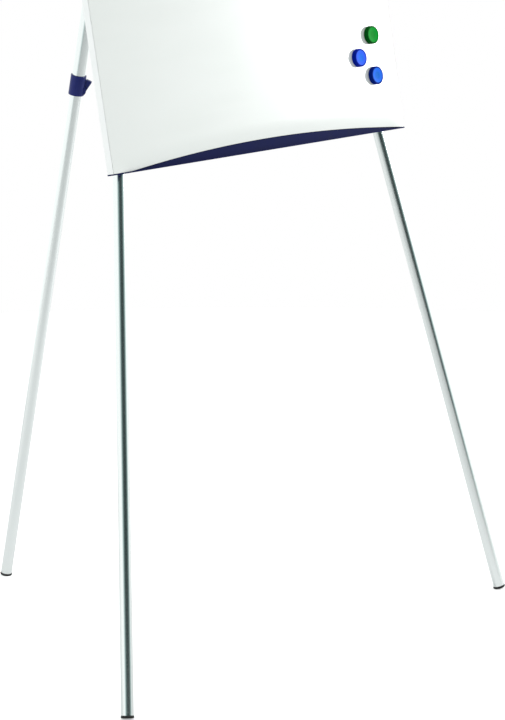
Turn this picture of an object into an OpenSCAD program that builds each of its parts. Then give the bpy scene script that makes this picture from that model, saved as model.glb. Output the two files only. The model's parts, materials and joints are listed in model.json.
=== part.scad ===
// Tripod flipchart easel: a magnetic drywipe board on three telescopic tube legs.
// +X runs along the board's width, -Y faces the writer, +Z is up. The feet stand on Z = 0.

/* [Board] */
// Width of the board
board_w = 703; // [600:1:760]
// Height of the board along its own slope
board_h = 1000; // [900:10:1100]
// Thickness of the board
board_t = 12; // [11:0.5:13]
// Distance along the slope from the floor to the board's lower edge
board_bottom = 804; // [770:0.5:820]
// Distance from the legs' plane forward to the writing face
face_offset = 25.5; // [25:0.5:30]
// Rise of the arch in the lower edge of the white panel
arch_rise = 19; // [10:0.5:22]
// Half the width of that arch
arch_half = 307; // [250:1:340]
// Thickness of the white steel panel
panel_t = 1; // [0.8:0.1:1.5]
// Width of the white rim at the sides and the top
rim_w = 1; // [0.8:0.1:2]
// Height of the navy rail behind the lower edge
rail_h = 45; // [40:1:80]
// Distance from the writing face back to the rail's front
rail_setback = 4.5; // [3:0.5:6]

/* [Stance] */
// Backward lean of the board and the two front legs
lean = 10; // [8:0.5:12]
// Outward splay of each front leg, measured in the leaning plane
splay = 10.8; // [9:0.05:12]
// Half the distance between the front feet
foot_half = 466; // [430:1:480]
// Distance from the front feet's line back to the rear foot
rear_reach = 728; // [680:1:740]
// Forward lean of the rear leg
rear_lean = 13; // [11:0.1:14]
// Distance of the rear hinge pin behind the legs' plane
hinge_depth = 39; // [33:1:40]

/* [Tubes] */
// Outer diameter of the upper tubes
upper_d = 22; // [20:0.5:23]
// Outer diameter of the lower tubes
lower_d = 19; // [17:0.5:19]
// Wall thickness of all tubes
wall = 1.2; // [1:0.1:1.2]
// Length of lower tube and foot below the clamp collar
leg_out = 880; // [600:0.5:900]
// Length of lower tube hidden above the collar's lower edge
leg_overlap = 130; // [100:5:200]

/* [Collars] */
// Outer diameter of the clamp collars
collar_d = 26; // [25:0.5:26]
// Height of the clamp collars
collar_h = 34; // [30:1:40]
// Turn of the rear collar about its leg
rear_turn = -50; // [-90:5:90]

/* [Pad clamp] */
// Distance between the two pad hooks
hook_spacing = 440; // [300:10:560]
// Diameter of the pegs that hold the pad
peg_d = 7; // [5:0.5:8]
// Length of the pegs
peg_l = 16; // [10:1:25]

/* [Magnets] */
// Diameter of the round magnets
magnet_d = 30; // [25:1:35]
// Thickness of the round magnets
magnet_t = 8; // [7:0.5:12]

/* [Hidden] */
$fn = 64;

// Fits: a loose gap between neighbours, a running gap round pins and slides
gap = 0.3;
run = 0.05;
// Diameter of the screws, and of the pocket each one sits in
screw_d = 3.5;
screw_hole_d = screw_d + 2 * run;

// Colours
navy = [0.13, 0.15, 0.36];
white = [0.96, 0.97, 0.97];
alu = [0.78, 0.80, 0.80];
steel = [0.62, 0.63, 0.65];
black = [0.08, 0.09, 0.09];

// Board levels along the slope and depths across it (the writer is at -Y)
board_top = board_bottom + board_h;
face_y = -face_offset;
back_y = face_y + board_t;
sheet_t = 0.6;
groove = 0.4;
lip_h = 2;
side_x = board_w / 2;
panel_x = side_x - rim_w - groove;
rim_proud = 0.1;
// Radius of the arch, from its width and its rise above the panel's straight lower edge
arch_up = arch_rise - lip_h;
arch_r = (arch_half * arch_half + arch_up * arch_up) / (2 * arch_up);

// Tubes
upper_r = upper_d / 2;
lower_r = lower_d / 2;
upper_bore_r = upper_r - wall;
lower_bore_r = lower_r - wall;
// The upper tubes start on a step inside the collar, above the grip bush and the lever's cam
seat_z = 12;
upper_start = leg_out + seat_z;
front_top = (board_top - 52) / cos(splay);

// Rear hinge: where the rear leg's axis meets the plane hinge_depth behind the front legs
fold = lean + rear_lean;
pin_t = (rear_reach * cos(lean) - hinge_depth) / sin(fold);
hinge_s = rear_reach * sin(lean) + pin_t * cos(fold);
pin_r = 4;
barrel_r = 12;
barrel_w = 30;
ear_t = 8;
ear_x = barrel_w / 2 + gap;
knuckle_neck = 18;

// Feet: a rubber disc with a rounded edge, tilted like its leg, worn flat where it meets the floor
foot_r = 10.2;
foot_h = 4;
foot_round = 1.5;
foot_wear = 0.4;
// Height along the leg's axis from the floor point up to the disc's underside
function foot_lift(tilt) =
    (foot_round + (foot_r - foot_round) * sin(tilt) - foot_wear) / cos(tilt) - foot_round;
front_tilt = acos(cos(splay) * cos(lean));
front_lift = foot_lift(front_tilt);
rear_lift = foot_lift(rear_lean);

// The origin lies midway between the front feet's front edge and the rear foot's back edge
front_ay = cos(splay) * sin(lean);
rear_ay = -sin(rear_lean);
function edge_reach(a) = (foot_r - foot_round) * sqrt(1 - a * a) + foot_round;
front_edge = (front_lift + foot_round) * front_ay - edge_reach(front_ay);
rear_edge = rear_reach + (rear_lift + foot_round) * rear_ay + edge_reach(rear_ay);
mid_y = (front_edge + rear_edge) / 2;

// Pad clamp levels along the slope
base_low = board_top - 43;
base_high = board_top - 19;
base_u = 9;
track_s = (base_low + base_high) / 2;
jaw_s = board_top + 5;
jaw_u = 12;
jaw_x = 321.5;
end_x0 = 322;
end_x1 = 341;

// ---- Frames ----

// The leaning plane of the front legs: X across, Z up the slope, Y behind the plane
module leg_plane() {
    translate([0, -mid_y, 0])
        rotate([-lean, 0, 0])
            children();
}

// A front leg's axis as Z, from its floor point up; side is -1 for left, 1 for right
module front_leg(side) {
    leg_plane()
        translate([side * foot_half, 0, 0])
            rotate([0, -side * splay, 0])
                children();
}

// The rear leg's axis as Z, from its floor point up
module rear_leg() {
    translate([0, rear_reach - mid_y, 0])
        rotate([rear_lean, 0, 0])
            children();
}

// ---- Shared shapes ----

// A box from low corner a to high corner b
module block(a, b) {
    translate(a)
        cube(b - a);
}

// A rectangle from low corner a to high corner b
module block2(a, b) {
    translate(a)
        square(b - a);
}

// A cylinder along X, centred on [x, y, z]
module bar_x(r, w, x, y, z) {
    translate([x - w / 2, y, z])
        rotate([0, 90, 0])
            cylinder(r = r, h = w);
}

// A hollow tube along Z
module tube(r, bore, z0, z1) {
    translate([0, 0, z0])
        difference() {
            cylinder(r = r, h = z1 - z0);
            translate([0, 0, -1])
                cylinder(r = bore, h = z1 - z0 + 2);
        }
}

// A box with its four edges along Y rounded, from low corner a to high corner b
module soft_block(a, b, r) {
    translate([0, b[1], 0])
        rotate([90, 0, 0])
            linear_extrude(b[1] - a[1]) {
                block2([a[0] + r, a[2]], [b[0] - r, b[2]]);
                block2([a[0], a[2] + r], [b[0], b[2] - r]);
                for (x = [a[0] + r, b[0] - r], z = [a[2] + r, b[2] - r])
                    translate([x, z])
                        circle(r = r);
            }
}

// A pan-head screw driven towards -Y, its head's underside at Y = 0
module screw(l) {
    rotate([90, 0, 0])
        cylinder(d = screw_d, h = l);
    difference() {
        rotate([-90, 0, 0])
            cylinder(d = 7, h = 2.2);
        for (turn = [0, 90])
            rotate([0, turn, 0])
                translate([-2.2, 1.2, -0.5])
                    cube([4.4, 2, 1]);
    }
}

// The pocket that such a screw fills, just wider and deeper
module screw_hole(l) {
    translate([0, 1, 0])
        rotate([90, 0, 0])
            cylinder(d = screw_hole_d, h = l + 1.5);
}

// ---- Board ----

module writing_panel() {
    color(white)
        leg_plane()
            translate([0, face_y + panel_t, 0])
                rotate([90, 0, 0])
                    linear_extrude(panel_t)
                        difference() {
                            block2([-panel_x, board_bottom + lip_h],
                                   [panel_x, board_top - rim_w - groove]);
                            translate([0, board_bottom + arch_rise - arch_r])
                                circle(r = arch_r, $fn = 720);
                        }
}

module board_core() {
    color([0.72, 0.62, 0.48])
        leg_plane()
            difference() {
                block([rim_w - side_x, face_y + panel_t, board_bottom + rail_h],
                      [side_x - rim_w, back_y - sheet_t, board_top - rim_w]);
                board_screw_holes();
            }
}

module back_sheet() {
    color([0.80, 0.81, 0.82])
        leg_plane()
            difference() {
                block([rim_w - side_x, back_y - sheet_t, board_bottom + rail_h],
                      [side_x - rim_w, back_y, board_top - rim_w]);
                board_screw_holes();
            }
}

// Every screw that enters the board from behind, in the leaning plane
module board_screw_holes() {
    for (x = head_screw_xs, s = head_screw_levels)
        translate([x, back_y, s])
            screw_hole(board_screw_l);
    for (side = [-1, 1], x = bracket_screw_xs)
        translate([side * foot_half, 0, 0])
            rotate([0, -side * splay, 0])
                translate([x, back_y, bracket_t])
                    screw_hole(board_screw_l);
}

module side_rim(side) {
    color(white)
        leg_plane()
            block([side * (side_x - rim_w / 2) - rim_w / 2, face_y - rim_proud, board_bottom + lip_h],
                  [side * (side_x - rim_w / 2) + rim_w / 2, back_y + rim_proud, board_top - rim_w]);
}

module left_rim() side_rim(-1);
module right_rim() side_rim(1);

module top_rim() {
    color(white)
        leg_plane()
            block([-side_x, face_y - rim_proud, board_top - rim_w],
                  [side_x, back_y + rim_proud, board_top]);
}

// The navy rail stands behind the arch; its lip runs on under the panel and the rims
rail_screw_xs = [-300, -100, 100, 300];
rail_screw_l = 7;
rail_screw_s = board_bottom + 26;

module bottom_rail() {
    color(navy)
        leg_plane()
            difference() {
                union() {
                    block([rim_w - side_x, face_y + rail_setback, board_bottom],
                          [side_x - rim_w, back_y, board_bottom + rail_h]);
                    block([-side_x, face_y - 0.2, board_bottom],
                          [side_x, back_y + rim_proud, board_bottom + lip_h]);
                }
                for (x = rail_screw_xs)
                    translate([x, back_y, rail_screw_s])
                        screw_hole(rail_screw_l);
            }
}

module rail_screws() {
    color(steel)
        leg_plane()
            for (x = rail_screw_xs)
                translate([x, back_y, rail_screw_s])
                    screw(rail_screw_l);
}

// ---- Pad clamp ----
// u is the distance out from the writing face, towards the writer

// The aluminium profile with the T-slot in which the pad hooks slide
slot_h = 6;
track_h = 14;
track_u0 = 2;
track_u1 = 6;
base_screw_xs = [-280, 0, 280];

module clamp_base() {
    color(alu)
        leg_plane()
            difference() {
                block([-end_x0, face_y - base_u, base_low], [end_x0, face_y, base_high]);
                block([-end_x0 - 1, face_y - track_u1, track_s - track_h / 2],
                      [end_x0 + 1, face_y - track_u0, track_s + track_h / 2]);
                block([-end_x0 - 1, face_y - base_u - 1, track_s - slot_h / 2],
                      [end_x0 + 1, face_y - track_u1 + 0.01, track_s + slot_h / 2]);
            }
}

// A moulded end that carries one end of the jaw's pivot
module clamp_end(side) {
    x0 = side > 0 ? end_x0 : -end_x1;
    x1 = side > 0 ? end_x1 : -end_x0;
    color(navy)
        leg_plane()
            difference() {
                union() {
                    block([x0, face_y - base_u - 2, base_low - 4], [x1, face_y, base_high]);
                    block([x0, face_y - 15, base_high], [x1, face_y, jaw_s]);
                    block([x0, face_y - jaw_u, board_top + gap], [x1, back_y, board_top + 5]);
                    bar_x(7, end_x1 - end_x0, (x0 + x1) / 2, face_y - jaw_u, jaw_s);
                }
                bar_x(2 + run, 14, side * end_x0, face_y - jaw_u, jaw_s);
                // the rim stands a little proud of the face under the moulding
                block([x0 - 1, face_y - rim_proud - run, board_top - rim_w - 1],
                      [x1 + 1, face_y + 1, board_top + gap]);
                translate([(x0 + x1) / 2, face_y - base_u - 2, base_low + 6])
                    rotate([90, 0, 0])
                        translate([0, 0, -13])
                            cylinder(d = screw_hole_d, h = 14);
            }
}

module left_clamp_end() clamp_end(-1);
module right_clamp_end() clamp_end(1);

// One screw through each moulded end
module clamp_screws() {
    color(steel)
        leg_plane()
            for (side = [-1, 1])
                translate([side * (end_x0 + end_x1) / 2, face_y - base_u - 2, base_low + 6])
                    mirror([0, 1, 0])
                        screw(base_u + 1.8);
}

module jaw_pins() {
    color(steel)
        leg_plane()
            for (side = [-1, 1])
                bar_x(2, 13.4, side * end_x0, face_y - jaw_u, jaw_s);
}

// Closed torsion springs round the pins, between the jaw's barrel and the moulded ends
spring_turns = 6;
spring_wire_r = 0.75;
spring_pitch = 1.4;

module jaw_springs() {
    color(steel)
        leg_plane()
            for (side = [-1, 1])
                translate([side * (jaw_x - 5), face_y - jaw_u, jaw_s])
                    rotate([0, 90, 0])
                        rotate_extrude()
                            for (k = [0:spring_turns - 1])
                                translate([3.2, (k - (spring_turns - 1) / 2) * spring_pitch])
                                    circle(r = spring_wire_r, $fn = 24);
}

// The sprung jaw that holds the paper's top edge
jaw_barrel_r = 5;
jaw_barrel_x = 311.5;
jaw_front_u = 15;
jaw_low = board_top - 14;

module clamp_jaw() {
    color(alu)
        leg_plane()
            difference() {
                union() {
                    bar_x(jaw_barrel_r, 2 * jaw_barrel_x, 0, face_y - jaw_u, jaw_s);
                    block([-jaw_barrel_x, face_y - jaw_front_u, jaw_low],
                          [jaw_barrel_x, face_y - jaw_front_u + 3, jaw_s]);
                    block([-jaw_barrel_x, face_y - jaw_front_u, jaw_low],
                          [jaw_barrel_x, face_y - 4, jaw_low + 3]);
                }
                for (side = [-1, 1])
                    bar_x(2 + run, 10, side * jaw_barrel_x, face_y - jaw_u, jaw_s);
            }
}

// The rubber strip on the jaw's inner edge
module jaw_grip() {
    color(black)
        leg_plane()
            block([-jaw_barrel_x, face_y - 4, jaw_low - 0.5],
                  [jaw_barrel_x, face_y - 1, jaw_low + 3.5]);
}

// A peg on a slider that runs in the clamp base's T-slot
module pad_hook(x) {
    color(navy)
        leg_plane()
            translate([x, face_y, track_s]) {
                block([-11, gap - track_u1, gap - track_h / 2],
                      [11, -gap - track_u0, track_h / 2 - gap]);
                block([-6, -base_u - gap, gap - slot_h / 2],
                      [6, gap - track_u1, slot_h / 2 - gap]);
                translate([0, -base_u - gap, 0])
                    rotate([90, 0, 0]) {
                        cylinder(r = 9, h = 3);
                        translate([0, 0, 3])
                            cylinder(d = peg_d, h = peg_l);
                        translate([0, 0, 3 + peg_l])
                            cylinder(d1 = peg_d, d2 = peg_d - 2, h = 1);
                    }
            }
}

module left_pad_hook() pad_hook(-hook_spacing / 2);
module right_pad_hook() pad_hook(hook_spacing / 2);

// ---- Head: the moulding behind the board that joins the three legs ----

head_x = 162;
head_low = hinge_s - 28;
head_high = hinge_s + 26;
saddle_back = upper_r + 3;
flange_t = 4;
ear_r = 13;
stop_low = 34;
stop_t = 4;
head_screw_xs = [-72, 72];
head_screw_levels = [hinge_s - 9, hinge_s + 9];
board_screw_l = flange_t + 6;

module head_block() {
    color(navy)
        difference() {
            union() {
                leg_plane() {
                    // end saddles, bridge and centre block
                    for (side = [-1, 1])
                        soft_block([side * 132 - 30, back_y, head_low],
                                   [side * 132 + 30, saddle_back, head_high], 6);
                    soft_block([-head_x + 30, back_y, hinge_s - 17],
                               [head_x - 30, back_y + flange_t, hinge_s + 17], 4);
                    block([-head_x + 40, back_y, hinge_s - 2], [head_x - 40, 8, hinge_s + 2]);
                    soft_block([-34, back_y, head_low], [34, saddle_back, head_high], 6);
                    for (x = [ear_x, -ear_x - ear_t])
                        hinge_ear(x);
                }
                // the stop that the rear leg meets when it is fully open
                rear_leg()
                    block([-ear_x - 1, upper_r + gap, pin_t - stop_low + 0.5],
                          [ear_x + 1, upper_r + gap + stop_t - 0.5, pin_t - stop_low + 14]);
            }
            leg_plane()
                bar_x(pin_r + run, 60, 0, hinge_depth, hinge_s);
            // a channel for each front tube, open towards the board
            for (side = [-1, 1])
                front_leg(side)
                    tube_channel(front_top - 120, front_top + 40);
            leg_plane()
                for (x = head_screw_xs, s = head_screw_levels)
                    translate([x, back_y + flange_t, s])
                        screw_hole(board_screw_l);
        }
}

// One ear of the hinge, from x onwards: a round eye on an arm, and a leg down to the stop
module hinge_ear(x) {
    translate([x, 0, 0])
        rotate([90, 0, 90])
            linear_extrude(ear_t) {
                block2([0, hinge_s - ear_r], [hinge_depth, hinge_s + ear_r]);
                translate([hinge_depth, hinge_s]) {
                    circle(r = ear_r);
                    rotate(fold)
                        block2([-6, -stop_low], [upper_r + gap + stop_t, 0]);
                }
            }
}

// The space a front tube takes in a moulding that holds it against the board
module tube_channel(t0, t1) {
    translate([0, 0, t0])
        cylinder(r = upper_r + run, h = t1 - t0);
    block([-upper_r - run, back_y - 1, t0], [upper_r + run, 0, t1]);
}

module head_screws() {
    color(steel)
        leg_plane()
            for (x = head_screw_xs, s = head_screw_levels)
                translate([x, back_y + flange_t, s])
                    screw(board_screw_l - 0.5);
}

// Headed hinge pin, and the clip that holds its other end
pin_out = ear_x + ear_t + 0.2;

module hinge_pin() {
    color(steel)
        leg_plane() {
            bar_x(pin_r, 2 * pin_out + 3, -1.5, hinge_depth, hinge_s);
            bar_x(6.5, 2, pin_out + 1, hinge_depth, hinge_s);
        }
}

module hinge_clip() {
    color(steel)
        leg_plane()
            difference() {
                bar_x(6.5, 1.2, -pin_out - 0.8, hinge_depth, hinge_s);
                bar_x(pin_r + run, 4, -pin_out - 0.8, hinge_depth, hinge_s);
                block([-pin_out - 3, hinge_depth - 1.5, hinge_s],
                      [-pin_out + 1, hinge_depth + 1.5, hinge_s + 10]);
            }
}

// ---- Lower brackets: saddles that hold the front upper tubes to the board ----

bracket_t = 980;
bracket_screw_xs = [-27, 27];

module leg_bracket(side) {
    color(navy)
        front_leg(side)
            difference() {
                union() {
                    soft_block([-18, back_y, bracket_t - 19], [18, saddle_back, bracket_t + 19], 4);
                    soft_block([-35, back_y, bracket_t - 12],
                               [35, back_y + flange_t, bracket_t + 12], 6);
                }
                tube_channel(bracket_t - 40, bracket_t + 40);
                for (x = bracket_screw_xs)
                    translate([x, back_y + flange_t, bracket_t])
                        screw_hole(board_screw_l);
            }
}

module left_bracket() leg_bracket(-1);
module right_bracket() leg_bracket(1);

module bracket_screws() {
    color(steel)
        for (side = [-1, 1])
            front_leg(side)
                for (x = bracket_screw_xs)
                    translate([x, back_y + flange_t, bracket_t])
                        screw(board_screw_l - 0.5);
}

// ---- Legs ----

module upper_tube(top) {
    color(alu)
        tube(upper_r, upper_bore_r, upper_start, top);
}

module left_upper_tube() front_leg(-1) upper_tube(front_top);
module right_upper_tube() front_leg(1) upper_tube(front_top);
module rear_upper_tube() rear_leg() upper_tube(pin_t - knuckle_neck);

module lower_tube(lift) {
    color(alu)
        tube(lower_r, lower_bore_r, lift + foot_h, leg_out + leg_overlap);
}

module left_lower_tube() front_leg(-1) lower_tube(front_lift);
module right_lower_tube() front_leg(1) lower_tube(front_lift);
module rear_lower_tube() rear_leg() lower_tube(rear_lift);

// The plug that closes the top of a front tube
module tube_cap() {
    color(navy)
        translate([0, 0, front_top]) {
            cylinder(r = upper_r, h = 3);
            translate([0, 0, -14])
                cylinder(r = upper_bore_r - run, h = 15);
        }
}

module left_tube_cap() front_leg(-1) tube_cap();
module right_tube_cap() front_leg(1) tube_cap();

// The rear tube's end fitting with the hinge barrel
module rear_knuckle() {
    color(navy)
        rear_leg()
            difference() {
                union() {
                    bar_x(barrel_r, barrel_w, 0, 0, pin_t);
                    translate([0, 0, pin_t - knuckle_neck])
                        cylinder(r = upper_r, h = knuckle_neck);
                    translate([0, 0, pin_t - knuckle_neck - 40])
                        cylinder(r = upper_bore_r - run, h = 41);
                }
                bar_x(pin_r + run, barrel_w + 2, 0, 0, pin_t);
            }
}

// A plastic plug on the lower tube's top end that glides in the upper tube
module glide_plug() {
    color(black)
        translate([0, 0, leg_out + leg_overlap]) {
            cylinder(r = upper_bore_r - run, h = 10);
            translate([0, 0, -15])
                cylinder(r = lower_bore_r - run, h = 16);
        }
}

module left_glide_plug() front_leg(-1) glide_plug();
module right_glide_plug() front_leg(1) glide_plug();
module rear_glide_plug() rear_leg() glide_plug();

// The rubber foot: a disc under the tube and a plug inside it
module foot(lift) {
    color(black)
        translate([0, 0, lift]) {
            rotate_extrude()
                difference() {
                    block2([0, 0], [foot_r, foot_h]);
                    difference() {
                        block2([foot_r - foot_round, -1], [foot_r + 1, foot_round]);
                        translate([foot_r - foot_round, foot_round])
                            circle(r = foot_round);
                    }
                }
            cylinder(r = lower_bore_r - run, h = foot_h + 18);
        }
}

// Cuts what lies below the floor
module on_floor() {
    difference() {
        children();
        block([-600, -600, -20], [600, 600, 0]);
    }
}

module left_foot() on_floor() front_leg(-1) foot(front_lift);
module right_foot() on_floor() front_leg(1) foot(front_lift);
module rear_foot() on_floor() rear_leg() foot(rear_lift);

// ---- Clamp collars, built at Z = 0 with their lever towards +X ----

collar_r = collar_d / 2;
bush_r = lower_r + 0.8;
bush_z0 = 1;
bush_z1 = 9;
lever_w = 6.6;
pivot_x = 13.2;
pivot_z = 9;
pivot_r = 1.2;
root_r = 2.5;
tab_x = 0.2;
pad_top = 29;

module collar() {
    color(navy)
        difference() {
            union() {
                cylinder(r = collar_r, h = collar_h);
                // the boss that carries the lever's pin, and the pad its tab lies against
                block([9, -6.3, 3], [14, 6.3, 15]);
                block([9, -5, 14], [pivot_x + tab_x - gap, 5, pad_top]);
                translate([14, 0, 3])
                    cylinder(r = 1.6, h = 12);
                for (side = [-1, 1])
                    translate([pivot_x - 0.4, side * 5 - 1.3, pivot_z])
                        rotate([-90, 0, 0])
                            cylinder(r = 3, h = 2.6);
            }
            // bores for the lower tube, the grip bush and the upper tube
            translate([0, 0, -1])
                cylinder(r = lower_r + gap, h = collar_h);
            translate([0, 0, bush_z0])
                cylinder(r = bush_r + run, h = collar_h);
            translate([0, 0, seat_z])
                cylinder(r = upper_r + run, h = collar_h);
            // the slot that the lever turns in
            block([pivot_x - root_r - gap, -lever_w / 2 - gap, -1],
                  [20, lever_w / 2 + gap, 17]);
            translate([pivot_x, -10, pivot_z])
                rotate([-90, 0, 0])
                    cylinder(r = pivot_r + run, h = 20);
        }
}

// The split bush that grips the lower tube
module grip_bush() {
    color(black)
        difference() {
            translate([0, 0, bush_z0])
                cylinder(r = bush_r, h = bush_z1 - bush_z0);
            cylinder(r = lower_r + run, h = 30);
            block([-20, -0.8, -1], [0, 0.8, 20]);
        }
}

// The flip lever: a cam round its pin and a thumb tab that slants out and up
module lever() {
    color(navy)
        translate([pivot_x, lever_w / 2, pivot_z])
            rotate([90, 0, 0])
                difference() {
                    linear_extrude(lever_w) {
                        circle(r = root_r);
                        polygon([[tab_x, 0], [root_r, 0], [9.3, 14.6], [9.6, 16.2], [8.6, 17],
                                 [1.6, 19.2], [tab_x, 18]]);
                    }
                    translate([0, 0, -1])
                        cylinder(r = pivot_r + run, h = lever_w + 2);
                }
}

module lever_pin() {
    color(steel)
        translate([pivot_x, -6.2, pivot_z])
            rotate([-90, 0, 0])
                cylinder(r = pivot_r, h = 12.4);
}

// Puts a collar piece on a front leg, its lever to the back, or on the rear leg
module at_front_collar(side) {
    front_leg(side)
        translate([0, 0, leg_out])
            rotate([0, 0, 90])
                children();
}

module at_rear_collar() {
    rear_leg()
        translate([0, 0, leg_out])
            rotate([0, 0, rear_turn])
                children();
}

module left_collar() at_front_collar(-1) collar();
module right_collar() at_front_collar(1) collar();
module rear_collar() at_rear_collar() collar();
module left_grip_bush() at_front_collar(-1) grip_bush();
module right_grip_bush() at_front_collar(1) grip_bush();
module rear_grip_bush() at_rear_collar() grip_bush();
module left_lever() at_front_collar(-1) lever();
module right_lever() at_front_collar(1) lever();
module rear_lever() at_rear_collar() lever();
module left_lever_pin() at_front_collar(-1) lever_pin();
module right_lever_pin() at_front_collar(1) lever_pin();
module rear_lever_pin() at_rear_collar() lever_pin();

// ---- Magnets ----

magnet_r = magnet_d / 2;
disc_r = 10;
disc_t = 5;
// Places across the board and up from its lower edge
green_at = [294.5, 159];
upper_blue_at = [255.5, 124.5];
lower_blue_at = [291.5, 92.5];

module at_magnet(at) {
    leg_plane()
        translate([at[0], face_y, board_bottom + at[1]])
            rotate([90, 0, 0])
                children();
}

// A plastic cap with a rounded edge and a shallow dish in its face
module magnet_cap(tint, at) {
    color(tint)
        at_magnet(at)
            difference() {
                rotate_extrude()
                    difference() {
                        union() {
                            block2([0, 0], [magnet_r, magnet_t - 1.5]);
                            block2([0, 0], [magnet_r - 1.5, magnet_t]);
                            translate([magnet_r - 1.5, magnet_t - 1.5])
                                circle(r = 1.5);
                        }
                        translate([0, magnet_t + 99.5])
                            circle(r = 100, $fn = 360);
                        block2([-20, -1], [0, 20]);
                    }
                translate([0, 0, -1])
                    cylinder(r = disc_r + run, h = disc_t + 1 + run);
            }
}

module magnet_disc(at) {
    color([0.25, 0.25, 0.27])
        at_magnet(at)
            cylinder(r = disc_r, h = disc_t);
}

module green_magnet_cap() magnet_cap([0.05, 0.60, 0.17], green_at);
module upper_blue_magnet_cap() magnet_cap([0.20, 0.40, 0.95], upper_blue_at);
module lower_blue_magnet_cap() magnet_cap([0.15, 0.43, 0.95], lower_blue_at);
module green_magnet_disc() magnet_disc(green_at);
module upper_blue_magnet_disc() magnet_disc(upper_blue_at);
module lower_blue_magnet_disc() magnet_disc(lower_blue_at);

// ---- Drawing ----

writing_panel();
board_core();
back_sheet();
left_rim();
right_rim();
top_rim();
bottom_rail();
rail_screws();
clamp_base();
left_clamp_end();
right_clamp_end();
clamp_screws();
jaw_pins();
jaw_springs();
clamp_jaw();
jaw_grip();
left_pad_hook();
right_pad_hook();
head_block();
head_screws();
hinge_pin();
hinge_clip();
left_bracket();
right_bracket();
bracket_screws();
left_upper_tube();
right_upper_tube();
rear_upper_tube();
left_lower_tube();
right_lower_tube();
rear_lower_tube();
left_tube_cap();
right_tube_cap();
rear_knuckle();
left_collar();
right_collar();
rear_collar();
left_grip_bush();
right_grip_bush();
rear_grip_bush();
left_lever();
right_lever();
rear_lever();
left_lever_pin();
right_lever_pin();
rear_lever_pin();
left_glide_plug();
right_glide_plug();
rear_glide_plug();
left_foot();
right_foot();
rear_foot();
green_magnet_cap();
upper_blue_magnet_cap();
lower_blue_magnet_cap();
green_magnet_disc();
upper_blue_magnet_disc();
lower_blue_magnet_disc();
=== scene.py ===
"""Looks for the flipchart easel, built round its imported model. Metres, in the model's own frame."""

import json
import math

import bmesh
import bpy
from mathutils import Matrix, Vector

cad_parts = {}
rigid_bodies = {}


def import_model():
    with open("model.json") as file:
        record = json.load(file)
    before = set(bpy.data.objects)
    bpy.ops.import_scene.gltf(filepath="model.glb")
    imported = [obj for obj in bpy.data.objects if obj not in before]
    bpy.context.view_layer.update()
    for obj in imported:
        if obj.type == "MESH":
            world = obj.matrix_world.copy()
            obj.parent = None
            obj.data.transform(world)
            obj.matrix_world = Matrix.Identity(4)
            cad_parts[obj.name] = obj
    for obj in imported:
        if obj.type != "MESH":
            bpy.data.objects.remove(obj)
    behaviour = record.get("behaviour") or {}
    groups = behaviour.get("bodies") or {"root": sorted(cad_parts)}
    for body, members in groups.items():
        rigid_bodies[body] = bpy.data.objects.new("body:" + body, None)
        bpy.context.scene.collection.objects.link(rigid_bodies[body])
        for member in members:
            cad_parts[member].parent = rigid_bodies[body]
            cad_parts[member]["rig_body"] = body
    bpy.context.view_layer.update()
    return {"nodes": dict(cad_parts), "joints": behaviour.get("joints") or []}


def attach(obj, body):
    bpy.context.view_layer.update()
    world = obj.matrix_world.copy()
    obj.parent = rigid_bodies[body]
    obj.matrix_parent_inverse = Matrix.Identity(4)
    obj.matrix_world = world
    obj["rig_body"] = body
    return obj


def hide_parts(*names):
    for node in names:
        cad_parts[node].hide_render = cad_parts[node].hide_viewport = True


MM = 0.001

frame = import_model()
NODES = frame["nodes"]
JOINTS = {joint["name"]: joint for joint in frame["joints"]}


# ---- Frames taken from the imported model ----

def body_of(node):
    return NODES[node]["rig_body"]


def axis_of(joint):
    return Vector(JOINTS[joint]["axis"]).normalized()


def axes(x, y, z, origin=(0, 0, 0)):
    """The matrix of a local frame with these axes."""
    m = Matrix((x, y, z)).transposed().to_4x4()
    m.translation = origin
    return m


def points_of(node, place):
    """A node's vertices in a local frame."""
    inverse = place.inverted()
    return [inverse @ v.co for v in NODES[node].data.vertices]


def span(node, place):
    """Lowest and highest corner of a node in a local frame."""
    points = points_of(node, place)
    low = Vector(min(p[i] for p in points) for i in range(3))
    high = Vector(max(p[i] for p in points) for i in range(3))
    return low, high


def centred(node, x, y, z):
    """A local frame with these axes whose Z line runs through the middle of a round node."""
    turned = axes(x, y, z)
    low, high = span(node, turned)
    middle = (low + high) / 2
    return axes(x, y, z, turned @ Vector((middle.x, middle.y, 0)))


FACE_OUT = axis_of("green_magnet_lift")
ACROSS = Vector((1, 0, 0))
SLOPE = ACROSS.cross(-FACE_OUT)
# X across the board, Y into it from the writer's side, Z up its slope
BOARD = axes(ACROSS, -FACE_OUT, SLOPE)
# Stands an outline drawn in X and Y up in X and Z
UPRIGHT = Matrix.Rotation(math.radians(90), 4, "X")


def leg_frame(leg):
    """X to the side, Y to the back, Z up the leg, through the lower tube's middle."""
    up = axis_of(leg + "_leg_slide")
    back = up.cross(ACROSS).normalized() if leg == "rear" else -FACE_OUT
    back = (back - up * back.dot(up)).normalized()
    side = back.cross(up)
    return centred(leg + "_lower_tube", side, back, up)


LEGS = {leg: leg_frame(leg) for leg in ("left", "right", "rear")}


# ---- Node trees ----

# Where most values of a noise pattern lie, and of two patterns added together
ONE_NOISE = (0.3, 0.7)
TWO_NOISES = (0.7, 1.3)
# Sockets of a Mix node: first value, second value, result
MIX_SOCKETS = {"FLOAT": (2, 3, 0), "RGBA": (6, 7, 2)}


def heading(degrees):
    """The level direction at that angle anticlockwise from +X."""
    return (math.cos(math.radians(degrees)), math.sin(math.radians(degrees)), 0)


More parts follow.
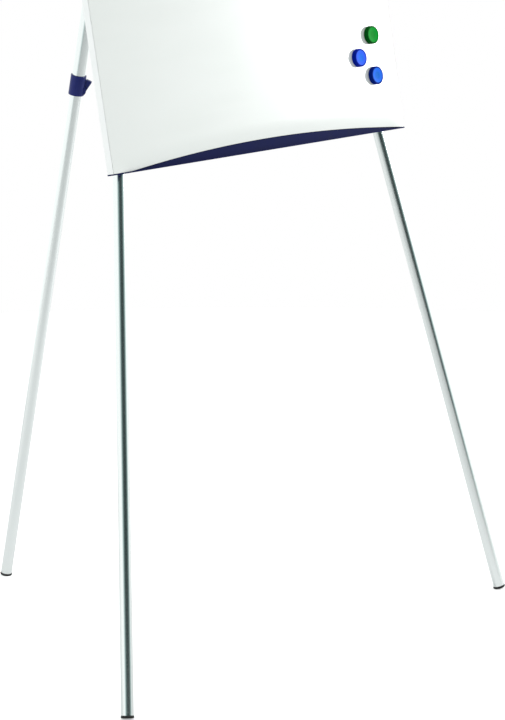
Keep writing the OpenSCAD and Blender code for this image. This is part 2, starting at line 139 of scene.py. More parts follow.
class NodeTree:
    """A node tree, with helpers for the nodes used here."""

    def __init__(self, tree):
        self.tree = tree

    def add(self, kind, **settings):
        node = self.tree.nodes.new(kind)
        for key, value in settings.items():
            setattr(node, key, value)
        return node

    def feed(self, socket, value):
        """Links an output to a socket, or sets a number or an RGB colour on it."""
        if isinstance(value, bpy.types.NodeSocket):
            self.tree.links.new(value, socket)
        elif isinstance(value, tuple):
            socket.default_value = (*value, 1)
        else:
            socket.default_value = value

    def maths(self, operation, a, b):
        node = self.add("ShaderNodeMath", operation=operation)
        self.feed(node.inputs[0], a)
        self.feed(node.inputs[1], b)
        return node.outputs[0]

    def total(self, a, b):
        return self.maths("ADD", a, b)

    def ranged(self, value, low, high, across=ONE_NOISE, shape="LINEAR"):
        """A value that runs across this range, mapped to low..high."""
        node = self.add("ShaderNodeMapRange", interpolation_type=shape)
        node.inputs["From Min"].default_value = across[0]
        node.inputs["From Max"].default_value = across[1]
        node.inputs["To Min"].default_value = low
        node.inputs["To Max"].default_value = high
        self.feed(node.inputs["Value"], value)
        return node.outputs["Result"]

    def mix(self, factor, a, b, kind="RGBA"):
        """A mix of two colours, or of two numbers where the kind is FLOAT."""
        first, second, result = MIX_SOCKETS[kind]
        node = self.add("ShaderNodeMix", data_type=kind)
        self.feed(node.inputs["Factor"], factor)
        self.feed(node.inputs[first], a)
        self.feed(node.inputs[second], b)
        return node.outputs[result]

    def shades(self, value, a, b, across=ONE_NOISE):
        """Colour a where the value is low, fading across this range to colour b."""
        return self.mix(self.ranged(value, 0, 1, across), a, b)

    def facing(self, point, degrees):
        """How far a point lies along the heading of that angle."""
        node = self.add("ShaderNodeVectorMath", operation="DOT_PRODUCT")
        self.feed(node.inputs[0], point)
        node.inputs[1].default_value = heading(degrees)
        return node.outputs["Value"]


class Surface(NodeTree):
    """A principled material. Sizes and depths of its patterns are in metres."""

    def __init__(self, name, **sockets):
        self.material = bpy.data.materials.new(name)
        self.material.use_nodes = True
        super().__init__(self.material.node_tree)
        self.shader = self.tree.nodes["Principled BSDF"]
        for socket, value in sockets.items():
            self.shader.inputs[socket.replace("_", " ")].default_value = value
        self.coordinates = self.add("ShaderNodeTexCoord").outputs["Object"]

    def scaled(self, factors):
        """The object's coordinates, each axis times its factor."""
        mapping = self.add("ShaderNodeMapping")
        mapping.inputs["Scale"].default_value = factors
        self.feed(mapping.inputs["Vector"], self.coordinates)
        return mapping.outputs["Vector"]

    def noise(self, size, detail=3, roughness=0.5, stretch=(1, 1, 1)):
        """A cloudy pattern of that size, drawn out along each axis by its stretch."""
        node = self.add("ShaderNodeTexNoise")
        node.inputs["Scale"].default_value = 1 / size
        node.inputs["Detail"].default_value = detail
        node.inputs["Roughness"].default_value = roughness
        self.feed(node.inputs["Vector"], self.scaled([1 / s for s in stretch]))
        return node.outputs["Fac"]

    def cell_colours(self, size):
        """A pattern of cells of that size, each with a colour of its own, as three numbers."""
        cells = self.add("ShaderNodeTexVoronoi")
        cells.inputs["Scale"].default_value = 1 / size
        self.feed(cells.inputs["Vector"], self.coordinates)
        split = self.add("ShaderNodeSeparateColor")
        self.feed(split.inputs[0], cells.outputs["Color"])
        return split.outputs

    def off_axis(self):
        """Distance from the object's own Z axis."""
        length = self.add("ShaderNodeVectorMath", operation="LENGTH")
        self.feed(length.inputs[0], self.scaled((1, 1, 0)))
        return length.outputs["Value"]

    def colour(self, output):
        self.feed(self.shader.inputs["Base Color"], output)

    def rough(self, output):
        self.feed(self.shader.inputs["Roughness"], output)

    def relief(self, output, depth):
        """A bump of that depth."""
        bump = self.add("ShaderNodeBump")
        bump.inputs["Distance"].default_value = depth
        self.feed(bump.inputs["Height"], output)
        self.feed(self.shader.inputs["Normal"], bump.outputs["Normal"])


# ---- Materials ----

def enamel():
    """White vitreous enamel on steel: glossy, a trace of orange peel, faint wiping marks."""
    s = Surface("white_enamel", Coat_Weight=0.35, Coat_Roughness=0.06, IOR=1.5)
    haze = s.noise(120 * MM, detail=4, roughness=0.6, stretch=(3.5, 1, 1))
    wipes = s.noise(6 * MM, detail=3, roughness=0.6, stretch=(30, 1, 1))
    s.colour(s.shades(haze, (0.805, 0.83, 0.81), (0.825, 0.845, 0.83)))
    s.rough(s.ranged(s.total(haze, wipes), 0.17, 0.22, TWO_NOISES))
    s.relief(s.noise(3.5 * MM, detail=2), 0.012 * MM)
    return s.material


def powder_coat():
    """White satin powder coat with its fine pebbled skin."""
    s = Surface("white_powder_coat", IOR=1.5)
    s.colour(s.shades(s.noise(50 * MM), (0.86, 0.88, 0.88), (0.91, 0.92, 0.92)))
    s.rough(s.ranged(s.noise(4 * MM), 0.32, 0.44))
    s.relief(s.noise(0.9 * MM, detail=2), 0.03 * MM)
    return s.material


def moulded(name, dark, light, roughness, grain_depth=0.03 * MM, shine=0.06, rings=()):
    """A moulded plastic with spark-eroded grain and slight flow marks. Each ring of
    (start, end, colour) changes a round cap's colour between those distances off its axis."""
    s = Surface(name, IOR=1.49, Specular_IOR_Level=shine)
    flow = s.noise(18 * MM, detail=4, roughness=0.6, stretch=(1, 1, 3))
    grain = s.noise(0.6 * MM, detail=3, roughness=0.65)
    body = s.shades(flow, dark, light)
    for start, end, colour in rings:
        body = s.shades(s.off_axis(), body, colour, (start, end))
    s.colour(body)
    s.rough(s.ranged(s.total(flow, grain), roughness - 0.05, roughness + 0.07, TWO_NOISES))
    s.relief(grain, grain_depth)
    return s.material


# How much longer than wide the drawing lines are, and how much less the clouds are drawn out
DRAWN = 400
CLOUDS_LESS = 40


def anodised(name, stretch, metallic, roughness):
    """Anodised aluminium with the fine drawing lines of its profile."""
    s = Surface(name, Metallic=metallic)
    lines = s.noise(0.7 * MM, detail=3, roughness=0.6, stretch=stretch)
    clouds = s.noise(60 * MM, detail=4, roughness=0.55,
                     stretch=[1 + (x - 1) / CLOUDS_LESS for x in stretch])
    both = s.total(lines, clouds)
    s.colour(s.shades(both, (0.80, 0.83, 0.83), (0.885, 0.91, 0.91), TWO_NOISES))
    s.rough(s.ranged(both, *roughness, TWO_NOISES))
    s.relief(lines, 0.004 * MM)
    return s.material


def zinc_plate():
    """Bright zinc-plated steel with a slightly uneven passivation."""
    s = Surface("zinc_plated_steel", Metallic=1.0)
    tint = s.noise(4 * MM, detail=4, roughness=0.6)
    s.colour(s.shades(tint, (0.52, 0.53, 0.56), (0.68, 0.68, 0.66)))
    s.rough(s.ranged(s.noise(1.2 * MM, detail=4), 0.24, 0.42))
    s.relief(s.noise(0.5 * MM), 0.01 * MM)
    return s.material


def galvanised():
    """Galvanised sheet with a small, calm spangle."""
    s = Surface("galvanised_sheet", Metallic=0.85)
    tone, gloss, _ = s.cell_colours(7 * MM)
    clouds = s.noise(20 * MM, detail=4, roughness=0.6)
    s.colour(s.shades(s.total(tone, clouds), (0.55, 0.565, 0.58), (0.62, 0.63, 0.64), (0.3, 1.5)))
    s.rough(s.ranged(gloss, 0.40, 0.50, (0, 1)))
    s.relief(clouds, 0.02 * MM)
    return s.material


def rubber():
    """Black rubber: dull, fine-grained, dusty where it is scuffed."""
    s = Surface("black_rubber", IOR=1.5, Specular_IOR_Level=0.35)
    dust = s.noise(5 * MM, detail=5, roughness=0.65)
    s.colour(s.shades(dust, (0.012, 0.012, 0.013), (0.035, 0.034, 0.033), (0.4, 0.75)))
    s.rough(s.ranged(dust, 0.62, 0.85))
    s.relief(s.noise(0.5 * MM, detail=3, roughness=0.6), 0.05 * MM)
    return s.material


def fibreboard():
    """Primed wood fibre, seen in the grooves round the panel."""
    s = Surface("fibreboard", IOR=1.45)
    fibres = s.noise(2 * MM, detail=5, roughness=0.7, stretch=(5, 1, 2))
    s.colour(s.shades(fibres, (0.60, 0.57, 0.52), (0.74, 0.72, 0.68)))
    s.rough(s.ranged(fibres, 0.75, 0.9))
    s.relief(fibres, 0.2 * MM)
    return s.material


def ferrite():
    """Sintered ferrite: dark, dull and pitted."""
    s = Surface("ferrite", Metallic=0.3, IOR=1.8)
    grains = s.noise(0.8 * MM, detail=5, roughness=0.7)
    s.colour(s.shades(grains, (0.035, 0.035, 0.04), (0.075, 0.075, 0.08)))
    s.rough(s.ranged(grains, 0.5, 0.7))
    s.relief(grains, 0.05 * MM)
    return s.material


# Where a cap's middle, painted darker as shade of its dish, gives way to its face, and where its
# shoulder and skirt, painted darker as shade of its side, begin
CAP_DISH_SHADE = (4.0 * MM, 8.5 * MM)
CAP_SHOULDER_SHADE = (11.6 * MM, 12.8 * MM)


def cap_plastic(name, dark, light, face, shaded_skirt):
    """The plastic of a magnet cap: dark to light in the middle, which is painted darker than the face
    round it as shade of the dish, then its face, then its shoulder and skirt painted darker as shade.
    """
    return moulded(name, dark, light, roughness=0.34, grain_depth=0.012 * MM, shine=0.01,
                   rings=((*CAP_DISH_SHADE, face), (*CAP_SHOULDER_SHADE, shaded_skirt)))


ENAMEL = enamel()
POWDER = powder_coat()
# Two copies of one navy plastic: the rail's painted darker as shade, the rest lighter as light
NAVY = moulded("navy_plastic", (0.011, 0.017, 0.122), (0.013, 0.020, 0.138),
               roughness=0.34, shine=0.22)
SHADED_RAIL_NAVY = moulded("navy_rail_painted_shade", (0.005, 0.009, 0.060), (0.007, 0.011, 0.070),
                    roughness=0.45, shine=0.02)
BLACK = moulded("black_plastic", (0.010, 0.010, 0.011), (0.018, 0.018, 0.019), roughness=0.45)
# Cap middles are painted darker as shade of the dish, shoulders and skirts as shade of the side
GREEN = cap_plastic("green_plastic", (0.001, 0.23, 0.018), (0.001, 0.26, 0.022),
                    face=(0.002, 0.29, 0.025), shaded_skirt=(0.001, 0.085, 0.008))
# One blue plastic twice: the upper cap's painted lighter as light, the lower cap's darker as shade
BLUE = cap_plastic("blue_plastic", (0.014, 0.150, 0.78), (0.020, 0.170, 0.84),
                   face=(0.038, 0.125, 0.88), shaded_skirt=(0.001, 0.012, 0.30))
SHADED_BLUE = cap_plastic("blue_plastic_painted_shade", (0.008, 0.135, 0.60), (0.012, 0.150, 0.66),
                        face=(0.022, 0.150, 0.80), shaded_skirt=(0.001, 0.014, 0.20))
TUBE_ALU = anodised("anodised_tube", (1, 1, DRAWN), metallic=1.0, roughness=(0.15, 0.24))
PROFILE_ALU = anodised("anodised_profile", (DRAWN, 1, 1), metallic=0.7, roughness=(0.42, 0.52))
ZINC = zinc_plate()
GALVANISED = galvanised()
RUBBER = rubber()
FIBRE = fibreboard()
FERRITE = ferrite()


# ---- Making pieces ----

# Steps round a turned piece, and round a collar's sleeve
ROUND_STEPS = 96
SLEEVE_STEPS = 120
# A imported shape's points this close are joined, and its faces this nearly flat are merged
WELD = 0.02 * MM
FLAT_WITHIN = math.radians(0.5)
# Edges sharper than this are rounded
ROUND_OVER = math.radians(30)


def mesh_data(name, mesh):
    """Turns a finished mesh into the data of an object."""
    data = bpy.data.meshes.new(name)
    mesh.to_mesh(data)
    mesh.free()
    return data


def add_object(name, data, place):
    made = bpy.data.objects.new(name, data)
    bpy.context.scene.collection.objects.link(made)
    made.matrix_world = place
    return made


def piece(name, mesh, place, material, slot, *nodes, sharp_over=40):
    """Adds a finished mesh as a piece that stands for these nodes and rides on their body.
    Its shading breaks at edges of more than sharp_over degrees."""
    bmesh.ops.recalc_face_normals(mesh, faces=mesh.faces)
    data = mesh_data(name, mesh)
    data.shade_smooth()
    data.set_sharp_from_angle(angle=math.radians(sharp_over))
    data.materials.append(material)
    made = add_object(name, data, place)
    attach(made, body_of(nodes[0]))
    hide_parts(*nodes)
    return made


def keep_flats(made):
    """Keeps flat faces flat in the shading beside small bevels."""
    made.modifiers.new("weighted_normals", "WEIGHTED_NORMAL").keep_sharp = True


def circle(radius, steps):
    """Points (x, y) on a circle."""
    turns = (2 * math.pi * k / steps for k in range(steps))
    return [(radius * math.cos(t), radius * math.sin(t)) for t in turns]


def arc(centre, radius, start, end, count):
    """Points on an arc, angles in degrees."""
    angles = [math.radians(start + (end - start) * k / (count - 1)) for k in range(count)]
    return [(centre[0] + radius * math.cos(a), centre[1] + radius * math.sin(a)) for a in angles]


def ring(mesh, points):
    return [mesh.verts.new(p) for p in points]


def bridge(mesh, first, second):
    """Faces between two rings of the same length."""
    for i in range(len(first)):
        k = (i + 1) % len(first)
        mesh.faces.new((first[i], first[k], second[k], second[i]))


def lathe(mesh, profile, steps=ROUND_STEPS):
    """A solid of revolution about Z from a closed profile of (radius, height) points.
    A profile that touches the axis starts and ends on it."""
    rings = []
    for radius, height in profile:
        around = circle(radius, steps) if radius else [(0, 0)]
        rings.append(ring(mesh, [(x, y, height) for x, y in around]))
    pairs = list(zip(rings, rings[1:]))
    if len(rings[0]) > 1:
        pairs.append((rings[-1], rings[0]))
    for first, second in pairs:
        if len(first) == len(second):
            bridge(mesh, first, second)
        else:
            (tip,), edge = sorted((first, second), key=len)
            for i in range(steps):
                mesh.faces.new((tip, edge[i], edge[(i + 1) % steps]))


def extrude(mesh, outline, low, high, place=Matrix()):
    """A closed prism from an outline of (x, y) points, from Z low to Z high."""
    rings = [ring(mesh, [place @ Vector((x, y, z)) for x, y in outline]) for z in (low, high)]
    bridge(mesh, *rings)
    for end in rings:
        mesh.faces.new(end)


def merge(mesh, other):
    """Moves another mesh's shells into the first."""
    data = mesh_data("part", other)
    mesh.from_mesh(data)
    bpy.data.meshes.remove(data)


def bevelled(mesh, width, segments):
    """Rounds every sharp edge."""
    edges = [e for e in mesh.edges if e.is_manifold and e.calc_face_angle() > ROUND_OVER]
    bmesh.ops.bevel(mesh, geom=edges, offset=width, segments=segments, profile=0.5,
                    affect="EDGES", clamp_overlap=True)


def softened(name, node, width, material, slot, segments=2):
    """The node's own shape with moulded or broken edges."""
    mesh = bmesh.new()
    mesh.from_mesh(NODES[node].data)
    bmesh.ops.remove_doubles(mesh, verts=mesh.verts, dist=WELD)
    bmesh.ops.dissolve_limit(mesh, angle_limit=FLAT_WITHIN, verts=mesh.verts, edges=mesh.edges)
    bevelled(mesh, width, segments)
    keep_flats(piece(name, mesh, Matrix(), material, slot, node))


# ---- Board ----

SHEET_THICKNESS = 0.7 * MM
# The cut edges of the sheet: their round, its steps, and the least angle that gets it
CUT_ROUND = 0.22 * MM
CUT_STEPS = 3
CUT_ANGLE = math.radians(50)
# Rows of the sheet where it rolls back, in mm above its lower edge, and even rows above those
ROLL_ROWS = [0, 0.5, 1.2, 2, 3, 4.2, 5.6, 7.2, 9, 11, 13.2, 15.6, 18.2, 21, 23.6, 26]
EVEN_ROWS = 24
COLUMNS = 160
# How far back the lower edge rolls, from how far above it, and how quickly it curves
ROLL_DEPTH = 2.6 * MM
ROLL_REACH = 26 * MM
ROLL_POWER = 2.2
# Width over which the roll dies out towards each side rim
ROLL_FADE = 45 * MM
# The arch of the sheet sits this far right of the board's middle
ARCH_SHIFT = 21 * MM
# How far from the board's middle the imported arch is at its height
ARCH_TOP = 20 * MM
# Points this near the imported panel's lowest are on its lower edge, and its outer corners are
# this near its sides
ON_EDGE = 0.01 * MM
ON_CORNER = MM


def panel():
    """The enamelled sheet: arched lower edge, rolled back behind the face."""
    low, high = span("writing_panel", BOARD)
    packed = points_of("writing_panel", BOARD)
    middle = min(p.z for p in packed if abs(p.x) < ARCH_TOP)
    half = max(p.x for p in packed if p.z < low.z + ON_EDGE and p.x < high.x - ON_CORNER)
    half = min(half + ARCH_SHIFT, high.x - ARCH_SHIFT)
    rise = middle - low.z
    radius = (half * half + rise * rise) / (2 * rise)
    rows = [row * MM for row in ROLL_ROWS]
    mesh = bmesh.new()
    grid = []
    for column in range(COLUMNS + 1):
        x = high.x * (2 * column / COLUMNS - 1)
        across = x - ARCH_SHIFT
        edge = max(low.z, middle - radius + math.sqrt(radius * radius - across * across))
        inward = min(1.0, (high.x - abs(x)) / ROLL_FADE)
        depth = ROLL_DEPTH * inward * inward * (3 - 2 * inward)
        line = []
        for d in rows:
            back = depth * max(0.0, 1 - d / ROLL_REACH) ** ROLL_POWER
            line.append((x, low.y + back, edge + d))
        top = edge + rows[-1]
        for k in range(1, EVEN_ROWS + 1):
            line.append((x, low.y, top + (high.z - top) * k / EVEN_ROWS))
        grid.append(ring(mesh, line))
    for left, right in zip(grid, grid[1:]):
        for i in range(len(left) - 1):
            mesh.faces.new((left[i], right[i], right[i + 1], left[i + 1]))
    made = piece("panel_sheet", mesh, BOARD, ENAMEL, "board_white", "writing_panel")
    thick = made.modifiers.new("sheet", "SOLIDIFY")
    thick.thickness = SHEET_THICKNESS
    thick.offset = -1
    edge_round = made.modifiers.new("edge", "BEVEL")
    edge_round.width = CUT_ROUND
    edge_round.segments = CUT_STEPS
    edge_round.limit_method = "ANGLE"
    edge_round.angle_limit = CUT_ANGLE
    keep_flats(made)


def board():
    panel()
    for node in ("left_rim", "right_rim", "top_rim"):
        softened(node + "_strip", node, 0.45 * MM, POWDER, "rim_white", segments=3)
    # The rail's navy is painted darker, as shade under the panel's rolled edge
    softened("rail_moulding", "bottom_rail", 0.5 * MM, SHADED_RAIL_NAVY, "navy_plastic", segments=3)
    softened("back_plate", "back_sheet", 0.15 * MM, GALVANISED, "back_steel")


# ---- Legs ----

TUBE_WALL = 1.2 * MM
TUBE_EDGE = 0.35 * MM
# A foot's disc under its tube's end, the rounds of its lower and upper edge, the parting step
# between them, and the chamfer of the plug
FOOT_DISC = 4 * MM
FOOT_ROUND = 1.5 * MM
FOOT_TOP_ROUND = 0.5 * MM
FOOT_STEP = 0.25 * MM
PLUG_CHAMFER = MM
# Points closer than this to the floor's plane are taken to lie on it
ON_FLOOR = 1e-7


def tube(name, node, leg):
    """A drawn tube with broken edges."""
    place = LEGS[leg]
    low, high = span(node, place)
    outer = (high.x - low.x) / 2
    inner = outer - TUBE_WALL
    c = TUBE_EDGE
    mesh = bmesh.new()
    lathe(mesh, [(inner, low.z + c), (inner + c, low.z), (outer - c, low.z), (outer, low.z + c),
                 (outer, high.z - c), (outer - c, high.z), (inner + c, high.z),
                 (inner, high.z - c)])
    piece(name, mesh, place, TUBE_ALU, "aluminium", node, sharp_over=25)


def foot(leg):
    """The rubber foot: a disc with a rounded edge, worn flat on the floor, and its plug."""
    node = leg + "_foot"
    place = LEGS[leg]
    low, high = span(node, place)
    outer = (high.x - low.x) / 2
    plug = max(p.xy.length for p in points_of(node, place) if p.z > high.z - PLUG_CHAMFER)
    tube_end = span(leg + "_lower_tube", place)[0].z
    bottom, r = tube_end - FOOT_DISC, FOOT_ROUND
    profile = [(0, bottom)]
    profile += arc((outer - r, bottom + r), r, -90, 0, 7)
    profile += [(outer, tube_end - 1.1 * MM), (outer - FOOT_STEP, tube_end - 0.8 * MM)]
    profile += arc((outer - 0.8 * MM, tube_end - FOOT_TOP_ROUND), FOOT_TOP_ROUND, 0, 90, 4)
    profile += [(plug, tube_end), (plug, high.z - PLUG_CHAMFER), (plug - PLUG_CHAMFER, high.z),
                (0, high.z)]
    mesh = bmesh.new()
    lathe(mesh, profile)
    inverse = place.inverted()
    bmesh.ops.bisect_plane(mesh, geom=mesh.verts[:] + mesh.edges[:] + mesh.faces[:],
                           dist=ON_FLOOR, plane_co=inverse.translation,
                           plane_no=inverse.to_3x3() @ Vector((0, 0, 1)), clear_inner=True)
    bmesh.ops.holes_fill(mesh, edges=[e for e in mesh.edges if e.is_boundary])
    piece(leg + "_foot_rubber", mesh, place, RUBBER, "black_rubber", node, sharp_over=30)


def legs():
    for leg in LEGS:
        tube(leg + "_tube_lower", leg + "_lower_tube", leg)
        tube(leg + "_tube_upper", leg + "_upper_tube", leg)
        foot(leg)
        if leg != "rear":
            softened(leg + "_end_cap", leg + "_tube_cap", 0.7 * MM, NAVY, "navy_plastic",
                     segments=3)


# ---- Collars ----

# A sleeve's bore round the lower tube, and round the upper tube
TIGHT_BORE = 9.8 * MM
WIDE_BORE = 11.05 * MM
# Heights in a sleeve between which its bore widens
STEP_LOW = 11.6 * MM
STEP_HIGH = 12.2 * MM
# Rounds of a sleeve's outer edges
SLEEVE_LOW_ROUND = 0.8 * MM
SLEEVE_TOP_ROUND = 0.6 * MM
# The pad that the lever's tab lies against: where it starts, how far it stays inside the line
# of the lever's pin, its width and its heights
PAD_ROOT = 9.2 * MM
PAD_GAP = 0.1 * MM
PAD_HALF_WIDTH = 5 * MM
PAD_LOW = 17 * MM
PAD_HIGH = 29 * MM
# A cheek's outline in mm, towards the lever and up, and its two sides off the middle
CHEEK = [(9.2, 3.2), (13.6, 3.0), (15.2, 5.2), (15.8, 8.0), (15.75, 10.2), (15.2, 12.6),
         (14.2, 14.6), (12.4, 16.0), (9.2, 17.2)]
CHEEK_INNER = 3.6 * MM
CHEEK_OUTER = 6.3 * MM
# The lever's cam, its steps, and its thumb tab's outline in mm from the pin, outwards and up
CAM = 2.5 * MM
CAM_STEPS = 17
TAB = [(9.3, 14.6), (9.65, 15.6), (9.4, 16.6), (8.6, 17.1), (1.6, 19.2), (0.7, 18.9),
       (0.05, 18.0)]


def pivot_of(leg, place):
    """The lever's pin in a local frame."""
    return place.inverted() @ Vector(JOINTS[leg + "_lever_flip"]["pos_m"])


def collar_frame(leg):
    """Z up the leg from the collar's lower edge, X towards its lever."""
    place = LEGS[leg]
    low, _ = span(leg + "_collar", place)
    pivot = pivot_of(leg, place)
    angle = math.atan2(pivot.y, pivot.x)
    return place @ Matrix.Translation((0, 0, low.z)) @ Matrix.Rotation(angle, 4, "Z")


def sleeve_profile(outer, top):
    """A sleeve with broken bore edges and rounded outer ones."""
    profile = [(TIGHT_BORE, 1.0 * MM), (TIGHT_BORE + 0.5 * MM, 0.4 * MM), (TIGHT_BORE + MM, 0)]
    r = SLEEVE_LOW_ROUND
    profile += arc((outer - r, r), r, -90, 0, 5)
    r = SLEEVE_TOP_ROUND
    profile += arc((outer - r, top - r), r, 0, 90, 5)
    profile += [(WIDE_BORE + 0.4 * MM, top), (WIDE_BORE + 0.1 * MM, top - 0.1 * MM),
                (WIDE_BORE, top - 0.4 * MM), (WIDE_BORE, STEP_HIGH), (TIGHT_BORE, STEP_LOW)]
    return profile


def collar(leg):
    """The clamp collar: a sleeve, two cheeks for the lever's pin, a pad behind its tab."""
    place = collar_frame(leg)
    low, high = span(leg + "_collar", place)
    mesh = bmesh.new()
    lathe(mesh, sleeve_profile((high.y - low.y) / 2, high.z), SLEEVE_STEPS)
    pad = bmesh.new()
    face = pivot_of(leg, place).x - PAD_GAP
    extrude(pad, [(PAD_ROOT, -PAD_HALF_WIDTH), (face, -PAD_HALF_WIDTH),
                  (face, PAD_HALF_WIDTH), (PAD_ROOT, PAD_HALF_WIDTH)], PAD_LOW, PAD_HIGH)
    bevelled(pad, width=0.3 * MM, segments=2)
    merge(mesh, pad)
    cheeks = bmesh.new()
    outline = [(x * MM, z * MM) for x, z in CHEEK]
    for low_side, high_side in ((CHEEK_INNER, CHEEK_OUTER), (-CHEEK_OUTER, -CHEEK_INNER)):
        extrude(cheeks, outline, low_side, high_side, UPRIGHT)
    bevelled(cheeks, width=0.55 * MM, segments=3)
    merge(mesh, cheeks)
    piece(leg + "_collar_body", mesh, place, NAVY, "navy_plastic", leg + "_collar", sharp_over=35)


def lever(leg):
    """The flip lever: cam, slanting thumb tab with a rounded tip."""
    place = collar_frame(leg)
    low, high = span(leg + "_lever", place)
    pivot = pivot_of(leg, place)
    outline = [(CAM, 0.1 * MM)] + [(x * MM, z * MM) for x, z in TAB] + [(0, CAM)]
    outline += arc((0, 0), CAM, 100, 340, CAM_STEPS)
    outline = [(pivot.x + x, pivot.z + z) for x, z in outline]
    mesh = bmesh.new()
    extrude(mesh, outline, -high.y, -low.y, UPRIGHT)
    bevelled(mesh, width=0.5 * MM, segments=3)
    keep_flats(piece(leg + "_lever_tab", mesh, place, NAVY, "navy_plastic", leg + "_lever"))


# ---- Magnets ----

MAGNETS = {"green": (GREEN, "green_plastic"), "upper_blue": (BLUE, "blue_plastic"),
           "lower_blue": (SHADED_BLUE, "blue_plastic")}
SHOULDER_ROUND = 1.5 * MM
# The dish in a cap's face: where it starts across and below the top, and how deep it is
DISH_RADIUS = 12.6 * MM
DISH_START = 0.12 * MM
DISH_DEPTH = 0.85 * MM
DISH_STEPS = 12
# The pocket for the ferrite disc
POCKET_RADIUS = 10.05 * MM
POCKET_DEPTH = 5.05 * MM


def magnet(name, material, slot):
    """A moulded cap with a rounded shoulder and a dished face."""
    node = name + "_magnet_cap"
    place = centred(node, ACROSS, SLOPE, FACE_OUT)
    low, high = span(node, place)
    outer, thick = (high.x - low.x) / 2, high.z - low.z
    r, pocket, ceiling = SHOULDER_ROUND, POCKET_RADIUS, low.z + POCKET_DEPTH
    profile = [(0, ceiling), (pocket, ceiling), (pocket, low.z + 0.3 * MM),
               (pocket + 0.3 * MM, low.z), (outer - 0.5 * MM, low.z),
               (outer - 0.1 * MM, low.z + 0.4 * MM), (outer, low.z + 0.9 * MM),
               (outer, low.z + thick - r)]
    profile += arc((outer - r, high.z - r), r, 12, 90, 7)
    profile += [(DISH_RADIUS + 0.35 * MM, high.z - 0.02 * MM)]
    for k in range(DISH_STEPS):
        share = 1 - k / DISH_STEPS
        profile.append((DISH_RADIUS * share, high.z - DISH_START - DISH_DEPTH * (1 - share ** 2)))
    profile.append((0, high.z - DISH_START - DISH_DEPTH))
    mesh = bmesh.new()
    lathe(mesh, profile)
    piece(name + "_magnet_moulding", mesh, place, material, slot, node, sharp_over=30)


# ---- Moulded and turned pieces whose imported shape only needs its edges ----

SOFT_EDGES = [
    # node, edge width in mm, material, slot
    ("clamp_base", 0.25, PROFILE_ALU, "aluminium"),
    ("clamp_jaw", 0.4, PROFILE_ALU, "aluminium"),
    ("jaw_grip", 0.3, RUBBER, "black_rubber"),
    ("left_clamp_end", 0.8, NAVY, "navy_plastic"),
    ("right_clamp_end", 0.8, NAVY, "navy_plastic"),
    ("left_pad_hook", 0.35, NAVY, "navy_plastic"),
    ("right_pad_hook", 0.35, NAVY, "navy_plastic"),
    ("head_block", 0.8, NAVY, "navy_plastic"),
    ("left_bracket", 0.7, NAVY, "navy_plastic"),
    ("right_bracket", 0.7, NAVY, "navy_plastic"),
    ("rear_knuckle", 0.6, NAVY, "navy_plastic"),
    ("hinge_pin", 0.4, ZINC, "steel"),
    ("hinge_clip", 0.2, ZINC, "steel"),
    ("rail_screws", 0.25, ZINC, "steel"),
    ("clamp_screws", 0.25, ZINC, "steel"),
    ("head_screws", 0.25, ZINC, "steel"),
    ("bracket_screws", 0.25, ZINC, "steel"),
]


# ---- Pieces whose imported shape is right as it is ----

KEPT = [
    (FIBRE, ["board_core"]),
    (ZINC, ["jaw_pins", "jaw_springs"] + [leg + "_lever_pin" for leg in LEGS]),
    (BLACK, [leg + part for part in ("_grip_bush", "_glide_plug") for leg in LEGS]),
    (FERRITE, [name + "_magnet_disc" for name in MAGNETS]),
]


def kept_nodes():
    for material, nodes in KEPT:
        for node in nodes:
            data = NODES[node].data
            data.materials.clear()
            data.materials.append(material)


# ---- Studio ----

CAMERA_AT = (-3.7261, -3.4550, 1.4469)
CAMERA_TO = (-0.1011, -0.3025, 0.4819)
# The camera's turn anticlockwise in degrees, its focal length and sensor width in mm, and the
# nearest and furthest that it sees
CAMERA_ROLL = -0.695
LENS = 156.9
SENSOR = 36
CAMERA_SEES = (0.05, 200)
WHITE = (1, 1, 1)
# What shines sees a white room with a dim patch: the heading of the patch's middle, how
# directly a ray faces it where it fades in, and the slope of the ray where it does
DIM_HEADING = -115
DIM_WIDTH = (0.27, 0.96)
DIM_RISE = (-0.60, -0.40)
SHINE_WHITE = 1.15
SHINE_DIM = 0.05
DIM_TINT = (0.62, 1.0, 0.97)
# Room light from below and from above, and its tint
AMBIENT = (0.445, 0.955)
STUDIO_TINT = (0.965, 1.0, 0.985)
# How far the floor reaches, its colour away from the dim side and its colour painted darker
# towards it as shade, where they change, and the light it adds to what the camera sees of it
FLOOR_REACH = 2.8
FLOOR_FAR = (0.92, 0.92, 0.92)
FLOOR_PAINTED_SHADE = (0.64, 0.65, 0.65)
FLOOR_FADE = (-0.9, 0.9)
FLOOR_GLOW = 0.48


def looking(at, to):
    """The matrix of a camera or lamp at one point that looks at another."""
    turn = (Vector(to) - Vector(at)).to_track_quat("-Z", "Y").to_matrix().to_4x4()
    return Matrix.Translation(at) @ turn


def camera():
    data = bpy.data.cameras.new("camera")
    data.lens = LENS
    data.sensor_width = SENSOR
    data.clip_start, data.clip_end = CAMERA_SEES
    roll = Matrix.Rotation(math.radians(CAMERA_ROLL), 4, "Z")
    made = add_object("camera", data, looking(CAMERA_AT, CAMERA_TO) @ roll)
    bpy.context.scene.camera = made


def floor():
    """Pale paper, painted darker towards the dim side of the room as painted shade."""
    mesh = bmesh.new()
    mesh.faces.new(ring(mesh, [(x, y, 0) for x, y in circle(FLOOR_REACH, ROUND_STEPS)]))
    made = add_object("floor", mesh_data("floor", mesh), Matrix())
    s = Surface("pale_floor", Specular_IOR_Level=0.1, Emission_Color=(*WHITE, 1))
    s.colour(s.shades(s.facing(s.coordinates, DIM_HEADING), FLOOR_FAR, FLOOR_PAINTED_SHADE, FLOOR_FADE))
    s.rough(s.ranged(s.noise(100 * MM), 0.8, 0.95))
    seen = s.add("ShaderNodeLightPath").outputs["Is Camera Ray"]
    s.feed(s.shader.inputs["Emission Strength"], s.ranged(seen, 0, FLOOR_GLOW, (0, 1)))
    made.data.materials.append(s.material)


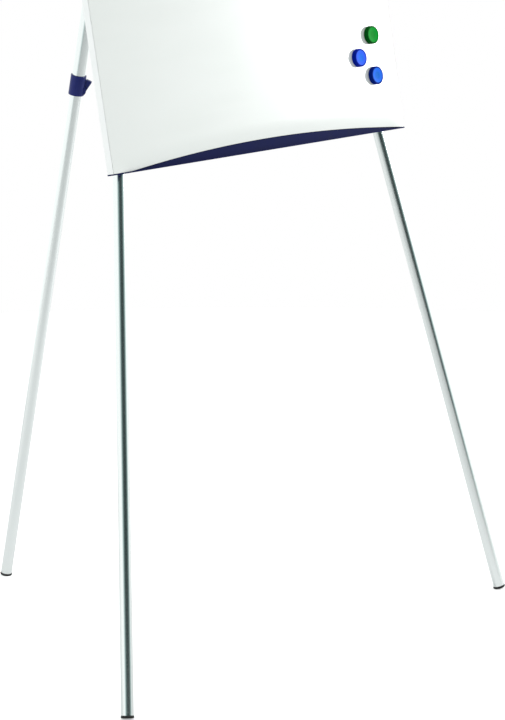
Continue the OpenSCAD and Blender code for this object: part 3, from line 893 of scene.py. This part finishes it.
def world():
    """A white studio. What shines sees a dim patch of room behind and beside the camera."""
    made = bpy.data.worlds.new("studio")
    bpy.context.scene.world = made
    made.use_nodes = True
    w = NodeTree(made.node_tree)
    w.tree.nodes.clear()
    direction = w.add("ShaderNodeTexCoord").outputs["Generated"]
    split = w.add("ShaderNodeSeparateXYZ")
    w.feed(split.inputs[0], direction)
    height = split.outputs["Z"]
    rays = w.add("ShaderNodeLightPath").outputs
    dim = w.maths("MULTIPLY",
                  w.ranged(w.facing(direction, DIM_HEADING), 0, 1, DIM_WIDTH, "SMOOTHSTEP"),
                  w.ranged(height, 0, 1, DIM_RISE, "SMOOTHSTEP"))
    shine = w.maths("SUBTRACT", SHINE_WHITE, w.maths("MULTIPLY", dim, SHINE_WHITE - SHINE_DIM))
    strength = w.mix(rays["Is Glossy Ray"], w.ranged(height, *AMBIENT, (-1, 1)), shine, "FLOAT")
    strength = w.mix(rays["Is Camera Ray"], strength, 1.0, "FLOAT")
    colour = w.mix(w.maths("MULTIPLY", dim, rays["Is Glossy Ray"]), STUDIO_TINT, DIM_TINT)
    colour = w.mix(rays["Is Camera Ray"], colour, WHITE)
    background = w.add("ShaderNodeBackground")
    w.feed(background.inputs["Strength"], strength)
    w.feed(background.inputs["Color"], colour)
    w.feed(w.add("ShaderNodeOutputWorld").inputs["Surface"], background.outputs[0])


def lamp(name, at, to, size, power):
    """A round soft light that the camera doesn't see."""
    data = bpy.data.lights.new(name, "AREA")
    data.shape = "DISK"
    data.size = size
    data.energy = power
    made = add_object(name, data, looking(at, to))
    made.visible_camera = False
    return made


def studio():
    camera()
    floor()
    world()
    lamp("key", at=(1.75, -1.15, 1.2), to=(0.12, 0, 1.05), size=0.6, power=23)
    side = lamp("side", at=(-2.2, 0.7, 1.3), to=(-0.3, 0, 1.1), size=1.2, power=14)
    side.visible_glossy = False
    bpy.context.scene.view_settings.view_transform = "Standard"


def build():
    board()
    legs()
    for leg in LEGS:
        collar(leg)
        lever(leg)
    for name, (material, slot) in MAGNETS.items():
        magnet(name, material, slot)
    for node, width, material, slot in SOFT_EDGES:
        softened(node + "_form", node, width * MM, material, slot)
    kept_nodes()


build()
studio()
